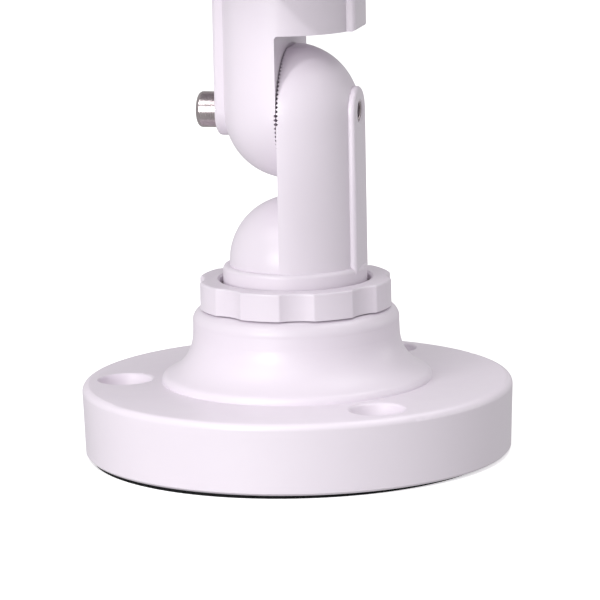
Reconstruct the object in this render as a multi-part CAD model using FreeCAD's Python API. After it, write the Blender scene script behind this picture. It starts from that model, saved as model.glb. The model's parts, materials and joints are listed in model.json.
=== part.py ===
import FreeCAD, Part
import math
import os

# A bullet security camera on its three-axis die-cast bracket, standing on the bracket's base.
# +Z is up, the origin is the centre of the base's underside, and the camera looks along -Y.
# The pan axis is Z, the tilt axis runs along X, and the camera's own axis runs along Y.
# All sizes are in millimetres.

V = FreeCAD.Vector
ORIGIN = V(0, 0, 0)
X_AXIS = V(1, 0, 0)
Y_AXIS = V(0, 1, 0)
Z_AXIS = V(0, 0, 1)

# ---- driving dimensions: bracket base -------------------------------------------------------
PAD_THICKNESS = 0.7
PAD_R = 47.8
PAD_OPENING_R = 13.0
PAD_SHIFT = (-0.5, -2.3)       # the cut foam pad lies a little off centre
DISC_R = 51.0
DISC_FOOT_R = 50.5
DISC_TOP = 17.4
DISC_EDGE = 1.6
WALL = 3.6
BOLT_CIRCLE_R = 41.0
BOLT_ANGLES = (70, 190, 310)
BOLT_HOLE_R = 2.6
BOLT_POST_R = 8.0
DISH_R = 6.6
DISH_DEPTH = 4.0
BELL_FOOT_R = 32.0
BELL_FLARE = (26.4, 23.1)      # radius and height half way up the flare
BELL_NECK_R = 24.5
BELL_NECK_Z = (28.6, 31.6)
BELL_SHOULDER = (23.7, 34.1)
BELL_LIP_R = 21.8
BELL_TOP = 35.1
BELL_WALL_FOOT_R = 28.5        # the bell's inside, from its foot to its crown
BELL_WALL_FLARE = (22.6, 20.5)
BELL_WALL_NECK = (20.9, 27.5)
CROWN_BOTTOM = 30.6
CROWN_R = 20.4
THREAD_R = 20.5
SPIGOT_TOP = 37.0
BOSS_R = 14.2
BOSS_BOTTOM = 21.0
JOURNAL_R = 10.0

# ---- driving dimensions: pan and tilt joint -------------------------------------------------
FIT = 0.05                     # radial or face clearance of parts that turn on each other
RING_R = 22.9
RING_BOTTOM = 35.4
RING_TOP = 41.9
RING_OPENING_R = 17.9
SCALLOPS = 8
SCALLOP_DEPTH = 1.25
SCALLOP_CUTTER_R = 9.5
SCALLOP_PHASE = 14.3
WASHER_T = 0.8
FLANGE_R = 19.6
FLANGE_T = 1.75
COLLAR_R = 17.0
COLLAR_TOP = 45.3
DOME_R = 15.4
DOME_Z = 46.0
POST_R = 16.0
TILT_Z = 81.5
MATING_GAP = 0.05              # half the gap between the serrated faces, tip to tip
TEETH = 100
TOOTH_DEPTH = 0.5
TOOTH_INNER_R = 8.5
LOWER_STRAP_X = 16.4
UPPER_STRAP_X = 17.4
BLOCK_STRAP_X = 17.0
STRAP_ROOT_X = 6.0
STRAP_HALF = 6.0
STRAP_EDGE = 0.9
SCREW_R = 2.45
SCREW_END_X = 12.2
SCREW_HEAD_R = 4.25
SCREW_HEAD_H = 5.0
SCREW_SOCKET_HALF = 2.0
BLOCK_BOTTOM = 101.0
BLOCK_TOP = 110.5
NOTCH_CORNER = 1.0
LOWER_ARM_TOP = TILT_Z + 15.3    # the small flat on top of the lower arm's round end

# ---- driving dimensions: head swivel on top of the block ------------------------------------
HEAD_THREAD_R = 12.8
HEAD_SPIGOT_TOP = 114.4
HEAD_RING_TOP = 119.6
HEAD_FLANGE_R = 12.3
HEAD_FLANGE_T = 2.4
HEAD_NECK_R = 9.5
HEAD_JOURNAL_R = 6.0
FOOT_PLATE_BOTTOM = 121.0
FOOT_HALF_X = 14.0
FOOT_HALF_Y = 21.0
FOOT_SCREW_Y = (-15.5, 15.5)
FOOT_SCREW_R = 1.95
SADDLE_GASKET_T = 0.6

# ---- driving dimensions: camera housing, along Y --------------------------------------------
HEAD_Z = 165.5
TUBE_R = 39.0
TUBE_BORE_R = 36.0
TUBE_FRONT = -108.0
TUBE_BACK = 62.0
BEZEL_FRONT = -124.0
BEZEL_R = 41.0
WINDOW_R = 34.6
WINDOW_T = 3.0
WINDOW_FACE = -121.4
SIGHT_R = 32.0                 # radius of the clear window inside the bezel's lip
CAP_BACK = 77.0
CAP_R = 40.4
CAP_SPIGOT = 4.6
CAP_SCREW_CIRCLE_R = 31.5
CAP_SCREW_R = 1.45
LUG_R = 4.0
LUG_Y = (48.0, 57.0)
GLAND_DROP = 12.0              # how far the cable gland is below the camera's axis
CABLE_R = 3.25
RAIL_HALF = 7.0
RAIL_FRONT = -70.0
RAIL_BACK = 46.0
SHIELD_IN_R = 43.4
SHIELD_T = 1.6
SHIELD_FRONT = -144.0
SHIELD_BACK = 60.0
SHIELD_SKIRT_Z = HEAD_Z - 8.0
SHIELD_SCREW_Y = (-46.0, 24.0)
SHIELD_TRAVEL = 10.0
SHIELD_SCREW_R = 1.95

# ---- driving dimensions: optics and boards --------------------------------------------------
BOARD_T = 1.6
LED_BOARD_Y = -103.0
LED_COUNT = 12
LED_CIRCLE_R = 24.0
LENS_R = 11.5
LENS_FRONT = -112.0
LENS_BACK = -70.0
FOCUS_RING_Y = (LENS_FRONT + 9.0, LENS_FRONT + 16.0)
ZOOM_RING_Y = (LENS_FRONT + 18.0, LENS_FRONT + 27.0)
BARREL_WAIST_R = 9.9           # what the two lens rings turn on
BARREL_BORE_R = 7.2
BARREL_MOUTH_R = 8.2
BARREL_TAIL_R = 8.0
GRIP_RIBS = 36
SENSOR_BOARD_Y = -60.0
CHASSIS_Z = HEAD_Z - 22.0
SLED_T = 1.6
SLED_HALF = 24.0
SLED_BACK = 47.5
STANDOFF_H = 6.0
STANDOFF_X = 19.0
STANDOFF_Y = (-22.0, 26.0)
MAIN_BOARD_HALF_X = 22.0
CHIP_T = 1.6
THERMAL_PAD_T = 0.8
CAPACITOR_R = 4.0
CAPACITOR_H = 11.0
CAPACITORS_AT = ((-14, 17), (-5, 20), (12, -19))
SERVICE_BOARD_Z = CHASSIS_Z - 4.0
SWITCH_AT = (11.0, 39.0)
HATCH_Y = (30.0, 48.0)
HATCH_HALF_X = 12.0
HATCH_LAP = 5.0                # how far the hatch seal reaches past the opening
HATCH_SCREW_Y = (HATCH_Y[0] - 4.6, HATCH_Y[1] + 4.6)
HATCH_SCREW_R = 1.45

PAN = (ORIGIN, Z_AXIS, X_AXIS)
TILT = (V(0, 0, TILT_Z), X_AXIS, Y_AXIS)
VIEW = (V(0, 0, HEAD_Z), Y_AXIS, X_AXIS)
BIG = 400.0


# ---- helpers --------------------------------------------------------------------------------
def rod(about, radius, start, end):
    """A cylinder about an axis, between two distances along it."""
    centre, along, _ = about
    return Part.makeCylinder(radius, end - start, centre + along * start, along)


def tube(about, outer, inner, start, end):
    return rod(about, outer, start, end).cut(rod(about, inner, start - 1, end + 1))


def line_at(x, y, z, along):
    """An axis through one point, to be used as the first argument of rod and tube."""
    out = Z_AXIS if along == Y_AXIS else X_AXIS
    return (V(x, y, z), along, out)


def box(x, y, z):
    """A box from a (low, high) pair along each axis."""
    return Part.makeBox(x[1] - x[0], y[1] - y[0], z[1] - z[0], V(x[0], y[0], z[0]))


def turned(about, start, *steps):
    """A lathe-turned solid. Points are (radius, distance along the axis), joined by lines, and
    a step that is a pair of points is an arc through the first to the second."""
    centre, along, out = about

    def place(point):
        return centre + out * point[0] + along * point[1]

    edges = []
    here = start
    for step in list(steps) + [start]:
        if isinstance(step[0], tuple):
            through, end = step
            edges.append(Part.Arc(place(here), place(through), place(end)).toShape())
        else:
            end = step
            edges.append(Part.makeLine(place(here), place(end)))
        here = end
    body = Part.Face(Part.Wire(edges)).revolve(centre, along, 360)
    if body.Volume < 0:
        body.reverse()
    return body


def around(shape, count, about=PAN, first=0.0):
    """Copies of a shape spaced evenly round an axis."""
    centre, along, _ = about
    copies = []
    for index in range(count):
        copy = shape.copy()
        copy.rotate(centre, along, first + 360.0 * index / count)
        copies.append(copy)
    return copies


def joined(*shapes):
    whole = shapes[0].fuse(list(shapes[1:]))
    return whole.removeSplitter()


def group(shapes):
    return Part.makeCompound(shapes)


def rounded(shape, radius, pick):
    """The shape with a fillet on each edge that pick(edge) chooses."""
    edges = [edge for edge in shape.Edges if pick(edge)]
    return shape.makeFillet(radius, edges)


def is_along(edge, axis):
    if not isinstance(edge.Curve, Part.Line):
        return False
    return abs(abs(edge.Curve.Direction.dot(axis)) - 1) < 1e-6


def at_height(edge, z):
    return abs(edge.BoundBox.ZMin - z) < 1e-4 and abs(edge.BoundBox.ZMax - z) < 1e-4


# ---- bracket base ---------------------------------------------------------------------------
def bolt_points():
    points = []
    for angle in BOLT_ANGLES:
        turn = math.radians(angle)
        points.append((BOLT_CIRCLE_R * math.cos(turn), BOLT_CIRCLE_R * math.sin(turn)))
    return points


def gasket_pad():
    centre = line_at(PAD_SHIFT[0], PAD_SHIFT[1], 0, Z_AXIS)
    pad = tube(centre, PAD_R, PAD_OPENING_R, 0, PAD_THICKNESS)
    for x, y in bolt_points():
        pad = pad.cut(rod(line_at(x, y, 0, Z_AXIS), BOLT_HOLE_R + 0.6, -1, 2))
    return pad


def base_skin():
    """The outside of the disc and the bell-shaped pedestal, with the threaded spigot on top."""
    foot = PAD_THICKNESS
    corner = DISC_EDGE * (1 - math.sqrt(0.5))
    return turned(
        PAN,
        (0, foot),
        (DISC_FOOT_R - 0.5, foot),
        (DISC_FOOT_R, foot + 0.5),
        (DISC_R, DISC_TOP - DISC_EDGE),
        ((DISC_R - corner, DISC_TOP - corner), (DISC_R - DISC_EDGE, DISC_TOP)),
        (BELL_FOOT_R, DISC_TOP + 0.2),
        (BELL_FOOT_R, DISC_TOP + 0.7),
        ((BELL_FOOT_R - 0.4, DISC_TOP + 1.6), (BELL_FOOT_R - 1.2, DISC_TOP + 2.2)),
        (BELL_FLARE, (BELL_NECK_R, BELL_NECK_Z[0])),
        (BELL_NECK_R - 0.1, BELL_NECK_Z[1]),
        (BELL_SHOULDER, (BELL_LIP_R, BELL_TOP)),
        (THREAD_R, BELL_TOP),
        (THREAD_R, SPIGOT_TOP),
        (0, SPIGOT_TOP),
    )


def base_cavity():
    """The hollow underside: an annular pocket in the disc and a bell-shaped one above it."""
    foot = PAD_THICKNESS - 1
    return turned(
        PAN,
        (0, foot),
        (DISC_FOOT_R - WALL, foot),
        (DISC_R - WALL, DISC_TOP - WALL - 1),
        (DISC_R - WALL - 1, DISC_TOP - WALL),
        (BELL_WALL_FOOT_R, DISC_TOP - WALL),
        (BELL_WALL_FLARE, BELL_WALL_NECK),
        (CROWN_R, CROWN_BOTTOM),
        (BOSS_R, CROWN_BOTTOM),
        (BOSS_R, BOSS_BOTTOM),
        (0, BOSS_BOTTOM),
    )


def base_casting():
    skin = base_skin()
    posts = []
    for x, y in bolt_points():
        post = rod(line_at(x, y, 0, Z_AXIS), BOLT_POST_R, PAD_THICKNESS, DISC_TOP - 1.5)
        posts.append(post.common(skin))
    body = joined(skin.cut(base_cavity()), *posts)
    body = body.cut(rod(PAN, JOURNAL_R, BOSS_BOTTOM - 1, SPIGOT_TOP + 1))
    for x, y in bolt_points():
        hole = line_at(x, y, 0, Z_AXIS)
        dish = turned(
            hole,
            (0, DISC_TOP + 1.0),
            (0, DISC_TOP - DISH_DEPTH),
            (BOLT_HOLE_R + 0.9, DISC_TOP - DISH_DEPTH),
            ((DISH_R - 1.3, DISC_TOP - 2.4), (DISH_R - 0.35, DISC_TOP - 0.5)),
            ((DISH_R - 0.15, DISC_TOP - 0.12), (DISH_R + 0.35, DISC_TOP + 0.1)),
            (DISH_R + 0.35, DISC_TOP + 1.0),
        )
        body = body.cut([dish, rod(hole, BOLT_HOLE_R, -1, DISC_TOP)])
    return body


def pan_friction_washer():
    return tube(PAN, FLANGE_R - 0.2, JOURNAL_R + 0.3, SPIGOT_TOP, SPIGOT_TOP + WASHER_T)


# ---- locking rings --------------------------------------------------------------------------
def scalloped(radius, bottom, top, depth):
    """A round blank with hollows for the fingers, and soft outer edges."""
    away = radius - depth + SCALLOP_CUTTER_R
    cutter = rod(line_at(away, 0, 0, Z_AXIS), SCALLOP_CUTTER_R, bottom - 1, top + 1)
    blank = rod(PAN, radius, bottom, top).cut(around(cutter, SCALLOPS))
    blank = rounded(blank, 1.0, lambda edge: is_along(edge, Z_AXIS))
    blank = rounded(blank, 0.5, lambda edge: at_height(edge, top))
    blank.rotate(ORIGIN, Z_AXIS, SCALLOP_PHASE)
    return blank


def pan_slip_washer():
    bottom = SPIGOT_TOP + WASHER_T + FLANGE_T + 2 * FIT
    return tube(PAN, FLANGE_R, COLLAR_R + 0.5, bottom, bottom + 0.5)


def pan_lock_ring():
    blank = scalloped(RING_R, RING_BOTTOM, RING_TOP, SCALLOP_DEPTH)
    lip = SPIGOT_TOP + WASHER_T + FLANGE_T + 3 * FIT + 0.5
    thread = rod(PAN, THREAD_R + 0.08, RING_BOTTOM - 1, lip)
    opening = turned(
        PAN,
        (0, lip - 1),
        (RING_OPENING_R, lip - 1),
        (RING_OPENING_R, RING_TOP - 0.5),
        (RING_OPENING_R + 0.5, RING_TOP),
        (RING_OPENING_R + 0.5, RING_TOP + 1),
        (0, RING_TOP + 1),
    )
    return blank.cut([thread, opening])


# ---- the two arms ---------------------------------------------------------------------------
def strap(face_x, side, low, high, low_round, high_round):
    """The raised flat strap on the outside of an arm, with an end rounded about the tilt axis."""
    near = STRAP_ROOT_X * side
    far = face_x * side
    x = (min(near, far), max(near, far))
    body = box(x, (-STRAP_HALF, STRAP_HALF), (low, high))
    if low_round:
        body = body.fuse(rod(line_at(0, 0, low, X_AXIS), STRAP_HALF, x[0], x[1]))
    if high_round:
        body = body.fuse(rod(line_at(0, 0, high, X_AXIS), STRAP_HALF, x[0], x[1]))
    body = body.removeSplitter()
    outer = [edge for edge in body.Edges
             if abs(edge.BoundBox.XMin - far) < 1e-4 and abs(edge.BoundBox.XMax - far) < 1e-4]
    return body.makeFillet(STRAP_EDGE, outer)


def tooth_grooves(side):
    """Radial V grooves round the tilt axis, cut into the mating face on one side of x = 0."""
    face = MATING_GAP * side
    reach = POST_R + 0.05
    half = reach * math.tan(math.pi / TEETH) * 0.96
    lift = 0.02 * side
    top = V(face - lift, reach, TILT_Z)
    left = top + V(0, 0, -half)
    right = top + V(0, 0, half)
    root = V(face + TOOTH_DEPTH * side, reach, TILT_Z)
    apex = V(face - lift, 0, TILT_Z)
    faces = []
    for loop in ((left, right, root), (left, root, apex), (right, apex, root), (left, apex, right)):
        faces.append(Part.Face(Part.makePolygon(list(loop) + [loop[0]])))
    groove = Part.Solid(Part.Shell(faces))
    if groove.Volume < 0:
        groove.reverse()
    inner = rod(TILT, TOOTH_INNER_R, min(0, side), max(0, side))
    return [item.cut(inner) for item in around(groove, TEETH, TILT)]


def half_space(side):
    """Everything on one side of the mating plane."""
    near = MATING_GAP * side
    far = BIG * side
    return box((min(near, far), max(near, far)), (-BIG, BIG), (-BIG, BIG))


def lower_arm_casting():
    flange_z = SPIGOT_TOP + WASHER_T + FIT
    root = turned(
        PAN,
        (0, BOSS_BOTTOM + 0.5),
        (JOURNAL_R - FIT, BOSS_BOTTOM + 0.5),
        (JOURNAL_R - FIT, flange_z),
        (FLANGE_R, flange_z),
        (FLANGE_R, flange_z + FLANGE_T),
        (COLLAR_R, flange_z + FLANGE_T),
        (COLLAR_R, COLLAR_TOP - 1.0),
        ((COLLAR_R - 0.3, COLLAR_TOP - 0.3), (COLLAR_R - 1.0, COLLAR_TOP)),
        (0, COLLAR_TOP),
    )
    dome = Part.makeSphere(DOME_R, V(0, 0, DOME_Z))
    dome = dome.common(box((-BIG, 1), (-BIG, BIG), (COLLAR_TOP - 2, BIG)))
    post = rod(PAN, POST_R, COLLAR_TOP - 2, TILT_Z)
    post = post.fuse(Part.makeSphere(POST_R, V(0, 0, TILT_Z))).removeSplitter()
    post = post.common(half_space(1)).common(box((-BIG, BIG), (-BIG, BIG), (0, LOWER_ARM_TOP)))
    raised = strap(LOWER_STRAP_X, 1, COLLAR_TOP - 1.6, TILT_Z, False, True)
    body = joined(root, dome, post, raised)
    well = rod(TILT, TOOTH_INNER_R, -1, MATING_GAP + TOOTH_DEPTH + 0.1)
    bore = rod(TILT, SCREW_R + FIT, -1, LOWER_STRAP_X + 1)
    mouth = turned(
        TILT,
        (0, LOWER_STRAP_X - 0.5),
        (SCREW_R, LOWER_STRAP_X - 0.5),
        (SCREW_R + 0.6, LOWER_STRAP_X + 0.1),
        (0, LOWER_STRAP_X + 0.1),
    )
    body = body.cut([well, bore, mouth])
    return body.cut(tooth_grooves(1))


def upper_arm_casting():
    post = rod(PAN, POST_R, TILT_Z, BLOCK_TOP)
    post = post.fuse(Part.makeSphere(POST_R - 0.1, V(0, 0, TILT_Z))).removeSplitter()
    notch = box((-MATING_GAP, BIG), (-BIG, BIG), (-BIG, BLOCK_BOTTOM))
    notch = rounded(notch, NOTCH_CORNER, lambda edge: is_along(edge, Y_AXIS)
                    and abs(edge.BoundBox.XMin + MATING_GAP) < 1e-4
                    and abs(edge.BoundBox.ZMin - BLOCK_BOTTOM) < 1e-4)
    left = strap(UPPER_STRAP_X, -1, TILT_Z, BLOCK_TOP, True, False)
    right = strap(BLOCK_STRAP_X, 1, BLOCK_BOTTOM, BLOCK_TOP, False, False)
    body = joined(post, left, right).cut(notch)
    body = rounded(body, 0.6, lambda edge: at_height(edge, BLOCK_TOP))
    spigot = rod(PAN, HEAD_THREAD_R, BLOCK_TOP - 1, HEAD_SPIGOT_TOP)
    body = joined(body, spigot)
    well = rod(TILT, TOOTH_INNER_R, -(MATING_GAP + TOOTH_DEPTH + 0.1), 1)
    bore = rod(TILT, SCREW_R + 0.3, -UPPER_STRAP_X - 1, 1)
    socket = rod(PAN, HEAD_JOURNAL_R, BLOCK_BOTTOM + 2.5, HEAD_SPIGOT_TOP + 1)
    body = body.cut([well, bore, socket])
    return body.cut(tooth_grooves(-1))


def tilt_screw():
    seat = -UPPER_STRAP_X - FIT
    end = seat - SCREW_HEAD_H
    screw = turned(
        TILT,
        (0, end),
        (SCREW_HEAD_R - 1.1, end),
        ((SCREW_HEAD_R - 0.32, end + 0.32), (SCREW_HEAD_R, end + 1.1)),
        (SCREW_HEAD_R, seat),
        (SCREW_R, seat),
        (SCREW_R, SCREW_END_X - 0.6),
        (SCREW_R - 0.6, SCREW_END_X),
        (0, SCREW_END_X),
    )
    corner = SCREW_SOCKET_HALF / math.cos(math.radians(30))
    points = []
    for index in range(7):
        turn = math.radians(60 * index)
        points.append(V(end - 1, corner * math.cos(turn), TILT_Z + corner * math.sin(turn)))
    socket = Part.Face(Part.makePolygon(points)).extrude(V(3.6, 0, 0))
    return screw.cut(socket)


# ---- head swivel ----------------------------------------------------------------------------
def head_friction_washer():
    return tube(PAN, HEAD_FLANGE_R, HEAD_JOURNAL_R + 0.3, HEAD_SPIGOT_TOP,
                HEAD_SPIGOT_TOP + WASHER_T)


def head_flange_bottom():
    return HEAD_SPIGOT_TOP + WASHER_T + FIT


def head_slip_washer():
    bottom = head_flange_bottom() + HEAD_FLANGE_T + FIT
    return tube(PAN, HEAD_FLANGE_R, HEAD_NECK_R + 0.5, bottom, bottom + 0.5)


def head_lock_ring():
    bottom = BLOCK_TOP + 0.6
    blank = scalloped(POST_R + 0.6, bottom, HEAD_RING_TOP, 1.0)
    lip = head_flange_bottom() + HEAD_FLANGE_T + 0.5 + 2 * FIT
    thread = rod(PAN, HEAD_THREAD_R + 0.08, bottom - 1, lip)
    opening = rod(PAN, HEAD_NECK_R + 0.9, bottom - 1, HEAD_RING_TOP + 1)
    return blank.cut([thread, opening])


def head_foot():
    low = head_flange_bottom()
    core = turned(
        PAN,
        (0, BLOCK_BOTTOM + 3.5),
        (HEAD_JOURNAL_R - FIT, BLOCK_BOTTOM + 3.5),
        (HEAD_JOURNAL_R - FIT, low),
        (HEAD_FLANGE_R, low),
        (HEAD_FLANGE_R, low + HEAD_FLANGE_T),
        (HEAD_NECK_R, low + HEAD_FLANGE_T),
        (HEAD_NECK_R, FOOT_PLATE_BOTTOM + 2),
        (0, FOOT_PLATE_BOTTOM + 2),
    )
    plate = box((-FOOT_HALF_X, FOOT_HALF_X), (-FOOT_HALF_Y, FOOT_HALF_Y),
                (FOOT_PLATE_BOTTOM, HEAD_Z - 20))
    plate = rounded(plate, 6.0, lambda edge: is_along(edge, Z_AXIS))
    plate = rounded(plate, 1.2, lambda edge: at_height(edge, FOOT_PLATE_BOTTOM))
    hollow = rod(VIEW, TUBE_R + SADDLE_GASKET_T, -BIG, BIG)
    body = joined(core, plate).cut(hollow)
    holes = [rod(line_at(0, y, 0, Z_AXIS), FOOT_SCREW_R + FIT, 100, HEAD_Z) for y in FOOT_SCREW_Y]
    return body.cut(holes)


def foot_screws():
    """Two pan-head screws put in from inside the housing, down into the foot."""
    inside = HEAD_Z - TUBE_BORE_R
    screws = []
    for y in FOOT_SCREW_Y:
        about = line_at(0, y, 0, Z_AXIS)
        head = rod(about, 3.6, inside + 0.2, inside + 2.8)
        shank = rod(about, FOOT_SCREW_R, FOOT_PLATE_BOTTOM + 1.2, inside + 0.2)
        slot = box((-2.4, 2.4), (y - 0.5, y + 0.5), (inside + 1.8, inside + 4))
        screws.append(joined(head, shank).cut(slot))
    return group(screws)


def saddle_gasket():
    """The thin curved seal between the foot and the round underside of the housing."""
    sheet = tube(VIEW, TUBE_R + SADDLE_GASKET_T, TUBE_R, -FOOT_HALF_Y, FOOT_HALF_Y)
    window = box((-FOOT_HALF_X + 0.5, FOOT_HALF_X - 0.5), (-FOOT_HALF_Y + 0.5, FOOT_HALF_Y - 0.5),
                 (0, HEAD_Z - 20))
    window = rounded(window, 5.5, lambda edge: is_along(edge, Z_AXIS))
    sheet = sheet.common(window)
    return sheet.cut([rod(line_at(0, y, 0, Z_AXIS), 2.4, 0, HEAD_Z) for y in FOOT_SCREW_Y])


# ---- camera housing -------------------------------------------------------------------------
def shield_rail():
    """The raised rail on top of the housing that the sunshield is clamped to."""
    rail = box((-RAIL_HALF, RAIL_HALF), (RAIL_FRONT, RAIL_BACK),
               (HEAD_Z + TUBE_R - 2, HEAD_Z + SHIELD_IN_R))
    rail = rounded(rail, 3.0, lambda edge: is_along(edge, Z_AXIS))
    return rail.common(rod(VIEW, SHIELD_IN_R - 0.3, RAIL_FRONT - 1, RAIL_BACK + 1))


def hatch_rim():
    """The thicker wall round the service opening, which the hatch screws go into."""
    rim = box((-HATCH_HALF_X - 4, HATCH_HALF_X + 4), (HATCH_Y[0] - 6.5, HATCH_Y[1] + 6.5),
              (HEAD_Z - TUBE_R, HEAD_Z - 30))
    rim = rounded(rim, 3.0, lambda edge: is_along(edge, Z_AXIS))
    return rim.common(tube(VIEW, TUBE_R - 0.5, TUBE_BORE_R - 1.5, TUBE_FRONT, TUBE_BACK))


def housing_tube():
    shell = joined(rod(VIEW, TUBE_R, TUBE_FRONT, TUBE_BACK), shield_rail())
    shell = shell.cut(rod(VIEW, TUBE_BORE_R, TUBE_FRONT - 1, TUBE_BACK + 1))
    shell = joined(shell, hatch_rim(), *cap_lugs())
    hatch = box((-HATCH_HALF_X, HATCH_HALF_X), HATCH_Y, (HEAD_Z - TUBE_R - 2, HEAD_Z - 20))
    cuts = [rounded(hatch, 3.0, lambda edge: is_along(edge, Z_AXIS))]
    for y in FOOT_SCREW_Y:
        cuts.append(rod(line_at(0, y, 0, Z_AXIS), FOOT_SCREW_R + FIT, 100, HEAD_Z))
    for y in HATCH_SCREW_Y:
        cuts.append(rod(line_at(0, y, 0, Z_AXIS), HATCH_SCREW_R + FIT, 100, HEAD_Z))
    for y in SHIELD_SCREW_Y:
        cuts.append(rod(line_at(0, y, 0, Z_AXIS), SHIELD_SCREW_R + FIT, HEAD_Z, BIG))
    for line in cap_screw_lines():
        cuts.append(rod(line, CAP_SCREW_R + FIT, LUG_Y[0] + 2, TUBE_BACK + 1))
    return shell.cut(cuts)


def cap_screw_lines():
    lines = []
    for angle in (45, 135, 225, 315):
        turn = math.radians(angle)
        lines.append(line_at(CAP_SCREW_CIRCLE_R * math.cos(turn), 0,
                             HEAD_Z + CAP_SCREW_CIRCLE_R * math.sin(turn), Y_AXIS))
    return lines


def cap_lugs():
    """Four screw lugs on the inside wall at the rear end of the tube."""
    lugs = []
    for line in cap_screw_lines():
        toward_wall = (line[0] - VIEW[0]) * 1.1
        root = line_at(toward_wall.x, 0, HEAD_Z + toward_wall.z, Y_AXIS)
        lug = rod(line, LUG_R, *LUG_Y).fuse(rod(root, LUG_R, *LUG_Y))
        lugs.append(lug.common(rod(VIEW, TUBE_R - 1, *LUG_Y)))
    return lugs


def rear_cap():
    body = turned(
        VIEW,
        (0, TUBE_BACK - CAP_SPIGOT),
        (TUBE_BORE_R - 0.1, TUBE_BACK - CAP_SPIGOT),
        (TUBE_BORE_R - 0.1, TUBE_BACK - 3.2),
        (TUBE_BORE_R - 1.6, TUBE_BACK - 3.2),
        (TUBE_BORE_R - 1.6, TUBE_BACK - 1.4),
        (TUBE_BORE_R - 0.1, TUBE_BACK - 1.4),
        (TUBE_BORE_R - 0.1, TUBE_BACK),
        (CAP_R, TUBE_BACK),
        (CAP_R, CAP_BACK - 7.0),
        ((CAP_R - 2.1, CAP_BACK - 2.1), (CAP_R - 7.0, CAP_BACK)),
        (0, CAP_BACK),
    )
    hollow = turned(
        VIEW,
        (0, TUBE_BACK - 6),
        (26.0, TUBE_BACK - 6),
        (26.0, CAP_BACK - 6.0),
        (23.0, CAP_BACK - 4.0),
        (0, CAP_BACK - 4.0),
    )
    body = body.cut(hollow)
    cuts = []
    for line in cap_screw_lines():
        cuts.append(rod(line, 1.8, TUBE_BACK - 8, CAP_BACK + 1))
        cuts.append(rod(line, 3.7, CAP_BACK - 5, CAP_BACK + 1))
    cuts.append(rod(gland_line(), 8.0, TUBE_BACK, CAP_BACK + 1))
    return body.cut(cuts)


def cap_screws():
    """Four socket-head screws in the counterbores of the rear cap."""
    screws = []
    for line in cap_screw_lines():
        head = rod(line, 3.4, CAP_BACK - 4.9, CAP_BACK - 1.4)
        shank = rod(line, CAP_SCREW_R, LUG_Y[0] + 2, CAP_BACK - 4.9)
        socket = rod(line, 1.5, CAP_BACK - 3.2, CAP_BACK)
        screws.append(joined(head, shank).cut(socket))
    return group(screws)


def oring(y):
    """A seal ring in the groove of an end piece that plugs the tube at distance y."""
    return Part.makeTorus(TUBE_BORE_R - 0.8, 0.78, VIEW[0] + Y_AXIS * y, Y_AXIS)


def gland_line():
    return line_at(0, 0, HEAD_Z - GLAND_DROP, Y_AXIS)


def hexagon(about, across, start, end):
    """A hexagonal bar along Y."""
    centre = about[0]
    corner = across / 2 / math.cos(math.radians(30))
    points = []
    for index in range(7):
        turn = math.radians(60 * index)
        points.append(centre + V(corner * math.cos(turn), start, corner * math.sin(turn)))
    return Part.Face(Part.makePolygon(points)).extrude(V(0, end - start, 0))


def cable_gland():
    """Gland body screwed through the cap: inner thread, hexagon, and the nut's thread."""
    line = gland_line()
    body = rod(line, 7.95, CAP_BACK - 8, CAP_BACK + 0.05)
    nut = hexagon(line, 21.0, CAP_BACK + 0.05, CAP_BACK + 5.0)
    stem = rod(line, 7.4, CAP_BACK + 4.5, CAP_BACK + 13.0)
    return joined(body, nut, stem).cut(rod(line, 4.6, CAP_BACK - 9, CAP_BACK + 14))


def gland_nut():
    line = gland_line()
    start = CAP_BACK + 5.4
    body = hexagon(line, 20.0, start, start + 8.6)
    body = body.fuse(rod(line, 8.8, start + 7.0, start + 11.6)).removeSplitter()
    cone = turned(
        line,
        (0, start + 11.0),
        (4.7, start + 11.0),
        (6.4, start + 11.7),
        (0, start + 11.7),
    )
    cuts = [rod(line, 7.5, start - 1, start + 8.2), rod(line, 4.7, start, start + 12), cone]
    return body.cut(cuts)


def gland_seal():
    """Rubber insert that the nut squeezes round a cable; its bore is the cable's way in."""
    return tube(gland_line(), 4.5, CABLE_R, CAP_BACK + 3.0, CAP_BACK + 16.2)


def front_bezel():
    inner = WINDOW_FACE + WINDOW_T + 1.0
    return turned(
        VIEW,
        (TUBE_BORE_R - 3.5, inner + 0.2),
        (WINDOW_R + 0.1, inner + 0.2),
        (WINDOW_R + 0.1, WINDOW_FACE),
        (SIGHT_R, WINDOW_FACE),
        (SIGHT_R, WINDOW_FACE - 0.6),
        (SIGHT_R + 1.6, BEZEL_FRONT),
        (BEZEL_R - 2.4, BEZEL_FRONT),
        ((BEZEL_R - 0.7, BEZEL_FRONT + 0.7), (BEZEL_R, BEZEL_FRONT + 2.4)),
        (BEZEL_R, TUBE_FRONT - 0.6),
        (BEZEL_R - 0.6, TUBE_FRONT),
        (TUBE_BORE_R - 0.1, TUBE_FRONT),
        (TUBE_BORE_R - 0.1, TUBE_FRONT + 2.0),
        (TUBE_BORE_R - 1.6, TUBE_FRONT + 2.0),
        (TUBE_BORE_R - 1.6, TUBE_FRONT + 3.8),
        (TUBE_BORE_R - 0.1, TUBE_FRONT + 3.8),
        (TUBE_BORE_R - 0.1, TUBE_FRONT + 7.0),
        (TUBE_BORE_R - 3.5, TUBE_FRONT + 7.0),
    )


def front_window():
    window = rod(VIEW, WINDOW_R, WINDOW_FACE, WINDOW_FACE + WINDOW_T)
    return rounded(window, 0.3, lambda edge: abs(edge.BoundBox.YLength) < 1e-4)


def window_gasket():
    start = WINDOW_FACE + WINDOW_T
    return tube(VIEW, WINDOW_R, SIGHT_R - 0.6, start, start + 1.0)


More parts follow.
